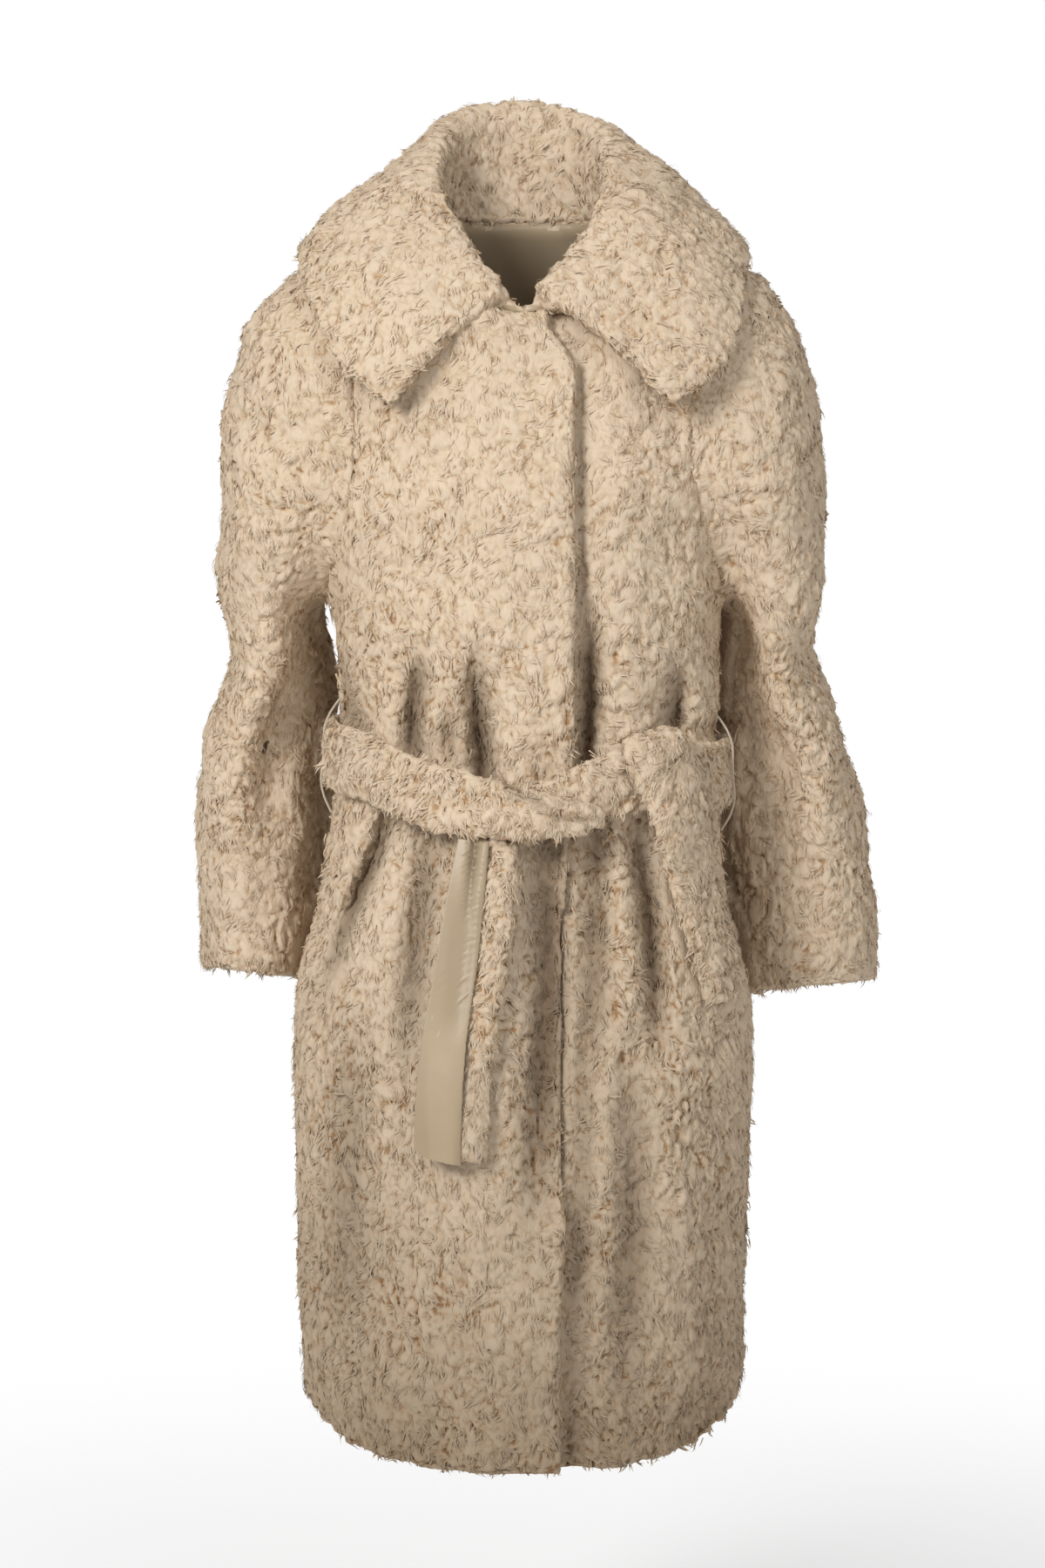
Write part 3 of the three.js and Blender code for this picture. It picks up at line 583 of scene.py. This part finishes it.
def backing_of(node):
    """The shell of a piece of cloth: its solid, smoothed, creased, and with its pile pressed into tufts."""
    piece = merged_copy(node, node + "_cloth")
    belt = node.startswith("belt")
    apply_modifier(piece, "grid", "REMESH", mode="VOXEL", voxel_size=BELT_GRID if belt else CLOTH_GRID)
    free = piece.vertex_groups.new(name="free")
    inner = np.flatnonzero(seam_share(node, points_of(piece)) == 0)
    free.add(inner.tolist(), 1.0, "REPLACE")
    move_points(piece, draw_to_seam(node, points_of(piece)))
    rounds = 2 if belt else SMOOTHING
    apply_modifier(piece, "soften", "SMOOTH", factor=0.5, iterations=rounds, vertex_group="free")
    if not belt:
        centres, normals, _ = faces_of(piece)
        halve_faces(piece, pile_shows(node, centres, normals, 0.25) > 0.3)
        apply_modifier(piece, "round", "SMOOTH", factor=0.5, iterations=2, vertex_group="free")
    points = points_of(piece)
    normals = normals_of(piece)
    shows = facing(node, points, normals, 0.6)
    if not belt and node != "collar":
        shows *= ~covered(points, normals, NEIGHBOURS[node], 14 * MM)
    lumps = soft_noise(points, 55 * MM, node + " lumps") * 1.6 * MM
    rim = 1 - 0.8 * seam_share(node, points)
    under_satin = SATIN_ROOM * ~past_satin(node, points)
    sunk = lumps - (BELT_PILE if belt else PILE)
    points += normals * (shows * rim * sunk - shows * under_satin)[:, None]
    move_points(piece, press_creases(node, points))
    apply_modifier(piece, "settle", "SMOOTH", factor=0.4, iterations=2, vertex_group="free")
    press_tufts(piece, node, shows * (0.4 + 0.6 * rim) * past_satin(node, points_of(piece)))
    if not belt:
        thin_lining(piece, shows)
    return piece


def thin_lining(piece, shows):
    """Leaves fewer and larger faces on the smooth side, away from the pile."""
    lining = piece.vertex_groups.new(name="lining")
    smooth = np.flatnonzero(shows < 0.02)
    lining.add(smooth.tolist(), 1.0, "REPLACE")
    share = len(smooth) / len(shows)
    ratio = 1 - share * (1 - LINING_SHARE)
    apply_modifier(piece, "thin", "DECIMATE", ratio=ratio, vertex_group="lining", vertex_group_factor=1.0)


# Tufts


def tuft_space(points):
    """Places bent and shortened, so that round tufts in them are long winding ones on the coat."""
    bend = np.stack([soft_noise(points, 24 * MM, axis + " bend") for axis in "xyz"], axis=1)
    return (points + bend * TUFT_BEND) * (1.0, 1.0, TUFT_STRETCH)


def lay_tufts(places, width, source):
    """Middles of tufts, one at random in each little box of space."""
    order = source.permutation(len(places))
    boxes = np.floor(places[order] / width)
    return order[np.unique(boxes, axis=0, return_index=True)[1]]


def press_tufts(piece, node, shows):
    """Raises the pile into tufts with winding crevices between them, and keeps how high each point is, from
    which the pile's colour paints shade into the crevices.
    """
    source = chance(node + " tufts")
    points = points_of(piece)
    normals = normals_of(piece)
    places = tuft_space(points)
    width = TUFT_WIDTH * (0.8 if node.startswith("belt") else 1.0)
    seen = np.flatnonzero(shows > 0.05)
    middles = seen[lay_tufts(places[seen], width, source)]
    tree = KDTree(len(middles))
    for i, middle in enumerate(middles):
        tree.insert(places[middle], i)
    tree.balance()
    step = source.uniform(-1, 1, len(middles))
    depth = source.uniform(0, 1, len(middles)) ** 0.7
    height = np.zeros(len(points))
    tip = np.full(len(points), 0.8)
    tint = np.full(len(points), 0.5)
    matted = soft_noise(points, 70 * MM, "matted patches") * 0.25 + 0.7
    matted *= 0.75 + 0.45 * np.clip((SMOOTH_HEIGHT - points[:, 2]) / SMOOTH_HEIGHT_RUN, 0, 1)
    matted = np.clip(matted, 0.15, 1.15)
    for i in seen:
        (_, first, near), (_, second, far) = tree.find_n(places[i], 2)
        gap = depth[(first + second) % len(depth)] * math.exp((near - far) / CREVICE) * matted[i]
        below = min(max((points[middles[first], 2] - points[i, 2]) / width, -1), 1)
        height[i] = step[first] * TUFT_STEP + below * TUFT_SLOPE - gap * TUFT_HEIGHT
        # The tip value falls in a crevice, and the pile's colour turns that into painted shade.
        tip[i] = 1 - gap
        tint[i] = (step[first] + 1) / 2
    points += normals * ((height + 0.45 * TUFT_HEIGHT) * shows)[:, None]
    move_points(piece, points)
    # The tip and fold values paint shade into the crevices and creases; tint follows each tuft's random
    # step, so the higher tufts are a little paler.
    for attribute, values in (("tip", tip), ("tint", tint), ("fold", painted_fold_shade(node, points))):
        piece.data.attributes.new(attribute, "FLOAT", "POINT").data.foreach_set("value", values)


def dress_backing(piece, node):
    """Pile ground on the side that shows, and lining on the other."""
    for finish in ("pile", "lining"):
        piece.data.materials.append(FINISHES[finish])
    centres, normals, _ = faces_of(piece)
    shows = facing(node, centres, normals, 0.25)
    piece.data.polygons.foreach_set("material_index", (shows < 0.4).astype(np.int32))
    piece.data.polygons.foreach_set("use_smooth", np.ones(len(shows), bool))
    piece.data.update()
    return shows


def faces_of(piece):
    """Each face's middle, its way out and its area."""
    faces = piece.data.polygons
    centres, normals = np.empty(len(faces) * 3), np.empty(len(faces) * 3)
    areas = np.empty(len(faces))
    faces.foreach_get("center", centres)
    faces.foreach_get("normal", normals)
    faces.foreach_get("area", areas)
    return centres.reshape(-1, 3), normals.reshape(-1, 3), areas


# Hair


def hair_shape(source):
    """One hair along +X: a blade of three triangles that rises and curls over, and how pale it is, darker
    towards its root as painted shade where it meets the pile.
    """
    lift = source.uniform(0.2, 1.3) * MM
    sway = source.uniform(-0.3, 0.3) * HAIR_LENGTH
    points = []
    tips = []
    for along, high in ((0.0, -1.2 * MM), (0.55, lift)):
        x = HAIR_LENGTH * (along - 0.3)
        half = HAIR_WIDTH / 2 * (1 - along * 0.3)
        for side in (-1, 1):
            points.append((x, side * half + sway * along * along, high))
            tips.append(0.65 + 0.35 * along)
    points.append((HAIR_LENGTH * 0.7, sway, lift * 0.7))
    tips.append(1.0)
    return np.array(points), np.array(tips)


HAIR_FACES = np.array([(0, 3, 1), (0, 2, 3), (2, 4, 3)])
HAIR_CORNERS = np.array([(0, 0), (1, 0.5), (1, 0), (0, 0), (0, 0.5), (1, 0.5), (0, 0.5), (0.5, 1), (1, 0.5)])


def lay_direction(node, points, normals, source):
    """The way that the pile is combed, downwards with swirls."""
    down = np.tile((0.0, 0.0, -1.0), (len(points), 1)) + outward(node, points) * 0.35
    if node == "collar":
        down[:, :2] += unit(points[:, :2]) * 0.6
    along = unit(down - np.einsum("ij,ij->i", down, normals)[:, None] * normals)
    across = np.cross(normals, along)
    turn = soft_noise(points, SWIRL_SIZE, node + " swirl") * SWIRL_TURN
    turn += source.normal(0, STRAY_TURN, len(points))
    return unit(along * np.cos(turn)[:, None] + across * np.sin(turn)[:, None])


def scatter(piece, shows, area_each, source):
    """Random places on the faces that show the pile: points and their ways out."""
    centres, normals, areas = faces_of(piece)
    wanted = areas / area_each * (shows > 0.4)
    counts = np.floor(wanted + source.uniform(0, 1, len(wanted))).astype(int)
    face = np.repeat(np.arange(len(counts)), counts)
    corners = np.array([tuple(f.vertices)[:4] if len(f.vertices) > 3 else (*f.vertices, f.vertices[0])
                        for f in piece.data.polygons])
    spots = points_of(piece)[corners[face]]
    u, v = source.uniform(0, 1, (2, len(face), 1))
    low = spots[:, 0] * (1 - u) + spots[:, 1] * u
    high = spots[:, 3] * (1 - u) + spots[:, 2] * u
    ways = normals_of(piece)[corners[face]].mean(axis=1)
    return low * (1 - v) + high * v, unit(ways)


def joined(name, points, along, normals, sizes, fold_shades, source):
    """Many hairs, each at its place and turned its way, as one mesh that takes the cloth's own shading."""
    shapes = [hair_shape(source) for _ in range(HAIR_KINDS)]
    faces, corners = HAIR_FACES, HAIR_CORNERS
    across = np.cross(normals, along)
    kind = source.integers(0, len(shapes), len(points))
    local = np.array([shape for shape, _ in shapes])[kind] * sizes[:, None, None]
    tips = np.array([tip for _, tip in shapes])[kind]
    placed = (
        points[:, None]
        + local[..., :1] * along[:, None]
        + local[..., 1:2] * across[:, None]
        + local[..., 2:] * normals[:, None]
    )
    count, each = placed.shape[:2]
    triangles = (faces[None] + (np.arange(count) * each)[:, None, None]).reshape(-1)
    mesh = bpy.data.meshes.new(name)
    mesh.vertices.add(count * each)
    mesh.vertices.foreach_set("co", placed.ravel())
    mesh.loops.add(len(triangles))
    mesh.loops.foreach_set("vertex_index", triangles.astype(np.int32))
    total = len(triangles) // 3
    mesh.polygons.add(total)
    mesh.polygons.foreach_set("loop_start", np.arange(0, 3 * total, 3, dtype=np.int32))
    mesh.polygons.foreach_set("use_smooth", np.ones(total, bool))
    tint = np.repeat(source.uniform(0, 1, count), each)
    fold = np.repeat(fold_shades, each)
    # The hairs' tip and fold values paint shade at their roots and in the creases; tint is each hair's own
    # random tone.
    for attribute, values in (("tip", tips.ravel()), ("tint", tint), ("fold", fold)):
        mesh.attributes.new(attribute, "FLOAT", "POINT").data.foreach_set("value", values.astype(np.float32))
    squares = math.ceil(math.sqrt(count))
    place = np.stack([np.arange(count) % squares, np.arange(count) // squares], axis=1)
    uv = (place[:, None] + 0.12 + 0.76 * corners[None]) / squares
    mesh.uv_layers.new(name="OFBake").data.foreach_set("uv", uv.ravel().astype(np.float32))
    mesh.update()
    mesh.validate()
    mesh.normals_split_custom_set_from_vertices(np.repeat(normals, each, axis=0).tolist())
    piece = bpy.data.objects.new(name, mesh)
    bpy.context.collection.objects.link(piece)
    mesh.materials.append(FINISHES["pile"])
    return piece


def grow_hair(node, cloth, shows):
    """Wisps of hair over the pile of one piece of cloth."""
    source = chance(node + " hair")
    belt = node.startswith("belt")
    size = BELT_FLUFF if belt else 1.0
    points, normals = scatter(cloth, shows, WISP_AREA * (0.6 if belt else 1.0), source)
    along = lay_direction(node, points, normals, source)
    sizes = size * source.normal(1, 0.25, len(points)).clip(0.5, 1.6)
    ends = np.repeat(points + along * (HAIR_LENGTH * sizes)[:, None], WISP_HAIRS, axis=0)
    points, normals = (np.repeat(values, WISP_HAIRS, axis=0) for values in (points, normals))
    points += source.normal(0, WISP_SPREAD * size, points.shape)
    points -= np.einsum("ij,ij->i", points - ends, normals)[:, None] * normals * 0.6
    way = ends - points
    along = unit(way - np.einsum("ij,ij->i", way, normals)[:, None] * normals)
    if belt:
        along = unit(along + normals * source.uniform(0.0, 0.4, (len(points), 1)))
    sizes = np.repeat(sizes, WISP_HAIRS) * source.uniform(0.8, 1.15, len(points))
    return joined(node + "_hair", points, along, normals, sizes, painted_fold_shade(node, points), source)


def past_satin(node, points):
    """The belt's right end shows its satin, so only its edge past the satin has pile."""
    if node != "belt_end_right":
        return np.ones(len(points), bool)
    low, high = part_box("belt_end_right_lining")
    share = (points[:, 2] - low.z) / (high.z - low.z)
    return points[:, 0] > low.x + 36 * MM + share * 30 * MM


def finish_piece(piece, slot, *nodes):
    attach(piece, "root")
    if nodes:
        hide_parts(*nodes)


CLOTH_NODES = list(CUTS)
WHOLE_COAT = tree_of(CLOTH_NODES)
ON_TOP = ["belt", "belt_end_right", "belt_end_left"]
UNDER_COLLAR = ("front_right", "back", "sleeve_right", "sleeve_left")
OVER = {node: tree_of(["collar", *ON_TOP]) for node in UNDER_COLLAR}
OVER["front_left"] = tree_of(["collar", "front_right", *ON_TOP])
OVER["belt"] = tree_of(["belt_end_left", "belt_end_right"])
OVER["belt_end_left"] = OVER["belt_end_right"] = tree_of(["sleeve_left"])
OVER["collar"] = tree_of(["collar"])
NEIGHBOURS = {node: tree_of([n for n in CLOTH_NODES if n != node]) for node in CLOTH_NODES}
for node in ON_TOP:
    NEIGHBOURS[node] = tree_of(["thread_loop_right"])
SEWN = {
    "front_right": ["back", "sleeve_right", "collar"],
    "front_left": ["back", "sleeve_left", "collar"],
    "back": ["front_right", "front_left", "sleeve_right", "sleeve_left", "collar"],
    "sleeve_right": ["front_right", "back"],
    "sleeve_left": ["front_left", "back"],
    "collar": ["front_right", "front_left", "back"],
}
SEWN_TREES = {node: tree_of(SEWN.get(node, ["thread_loop_right"])) for node in CLOTH_NODES}


def make_cloth():
    for node in CLOTH_NODES:
        cloth = backing_of(node)
        dress_backing(cloth, node)
        centres, normals, _ = faces_of(cloth)
        shows = pile_shows(node, centres, normals, 0.25) * past_satin(node, centres)
        pile = [grow_hair(node, cloth, shows)]
        finish_piece(cloth, "fur", node)
        for piece in pile:
            finish_piece(piece, "fur")


def make_belt_satin():
    """The satin side of the belt's right end: a softly creased strip over its solid, with painted shade in
    its creases.
    """
    node = "belt_end_right_lining"
    piece = merged_copy(node, "belt_end_satin")
    apply_modifier(piece, "grid", "REMESH", mode="VOXEL", voxel_size=0.9 * MM)
    apply_modifier(piece, "soften", "SMOOTH", factor=0.5, iterations=4)
    apply_modifier(piece, "thin_out", "DECIMATE", ratio=0.25)
    points = points_of(piece)
    low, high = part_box(node)
    share = (points[:, 2] - low.z) / (high.z - low.z)
    across = (points[:, 0] - low.x - share * 0.033) / 0.042
    pinch = np.exp(-(((across - 0.5) / 0.09) ** 2)) * np.clip((share - 0.72) / 0.2, 0, 1)
    fold = np.exp(-(((across - 0.75) / 0.1) ** 2)) * np.clip((share - 0.3) / 0.6, 0, 1)
    wave = soft_noise(points * (1, 1, 0.4), 26 * MM, "satin waves")
    points[:, 1] += 4.5 * MM * pinch - 2.5 * MM * fold + 1.3 * MM * wave - 1.5 * MM
    end = np.clip(1 - share / 0.12, 0, 1)
    points[:, 2] += end * (7 * MM * np.exp(-((across / 0.2) ** 2)) - 5 * MM * across)
    move_points(piece, points)
    # Painted shade on the satin, kept as the fold value: in the pinch, along its edge towards the wearer's
    # left, and in the hollows of its waves.
    satin_shade = (pinch + 0.35 * np.exp(-(((across - 0.95) / 0.12) ** 2)) + 0.15 * wave.clip(0, 1)).clip(0, 1)
    piece.data.attributes.new("fold", "FLOAT", "POINT").data.foreach_set("value", satin_shade)
    piece.data.polygons.foreach_set("use_smooth", np.ones(len(piece.data.polygons), bool))
    piece.data.materials.append(FINISHES["satin"])
    finish_piece(piece, "satin", node)


def dress_loops():
    for node in ("thread_loop_right", "thread_loop_left"):
        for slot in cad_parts[node].material_slots:
            slot.material = FINISHES["thread"]


# Studio

CAMERA_PLACE = (0.0, -3.5, -0.3009)
CAMERA_PITCH = math.radians(3.6)  # downwards
CAMERA_LENS = 87.5
FLOOR_HEIGHT = -1.46
FLOOR_RADIUS = 2.0
ROOM_LIGHT = 0.42


def make_floor():
    """A pale floor under the coat, which fades out into the room."""
    bpy.ops.object.select_all(action="DESELECT")
    bpy.ops.mesh.primitive_circle_add(vertices=96, radius=FLOOR_RADIUS, fill_type="NGON")
    floor = bpy.context.active_object
    floor.name = "floor"
    floor.data.transform(Matrix.Translation((0, 0, FLOOR_HEIGHT)))
    look = Finish("studio_floor")
    level = look.node("VectorMath", {"operation": "MULTIPLY"}, Vector=look.place())
    level.link.node.inputs[1].default_value = (1, 1, 0)
    away = look.node("VectorMath", {"operation": "LENGTH"}, output="Value", Vector=level)
    fade = look.node("MapRange", SOFT_STEP, Value=away)
    for name, value in (("From Min", 0.2), ("From Max", FLOOR_RADIUS), ("To Min", 1.0), ("To Max", 0.0)):
        fade.link.node.inputs[name].default_value = value
    white = (0.93, 0.93, 0.93, 1.0)
    plain = {"Base_Color": white, "Roughness": 0.9, "Emission_Color": white, "Emission_Strength": 0.3}
    floor.data.materials.append(look.surface(**plain, Alpha=fade))


def make_light(name, place, size, power):
    light = bpy.data.lights.new(name, "AREA")
    light.shape = "DISK"
    light.size = size
    light.energy = power
    lamp = bpy.data.objects.new(name, light)
    lamp.location = place
    aim = Vector((0.0, 0.0, -0.55)) - lamp.location
    lamp.rotation_euler = aim.to_track_quat("-Z", "Y").to_euler()
    bpy.context.collection.objects.link(lamp)


def make_studio():
    scene = bpy.context.scene
    world = bpy.data.worlds.new("studio")
    scene.world = world
    world.use_nodes = True
    tree = world.node_tree
    background = tree.nodes["Background"]
    background.inputs["Color"].default_value = (1.0, 1.0, 1.0, 1.0)
    seen = tree.nodes.new("ShaderNodeLightPath")
    strength = tree.nodes.new("ShaderNodeMapRange")
    tree.links.new(seen.outputs["Is Camera Ray"], strength.inputs["Value"])
    strength.inputs["To Min"].default_value = ROOM_LIGHT
    strength.inputs["To Max"].default_value = 1.0
    tree.links.new(strength.outputs["Result"], background.inputs["Strength"])
    make_light("key", (-1.7, -2.9, 0.9), 1.1, 84)
    make_light("fill", (1.6, -3.2, 0.6), 1.8, 26)
    camera = bpy.data.cameras.new("camera")
    camera.sensor_fit = "VERTICAL"
    camera.sensor_height = 36
    camera.lens = CAMERA_LENS
    eye = bpy.data.objects.new("camera", camera)
    eye.location = CAMERA_PLACE
    eye.rotation_euler = (math.pi / 2 - CAMERA_PITCH, 0, 0)
    bpy.context.collection.objects.link(eye)
    scene.camera = eye
    scene.view_settings.view_transform = "Standard"


make_cloth()
make_belt_satin()
dress_loops()
make_floor()
make_studio()
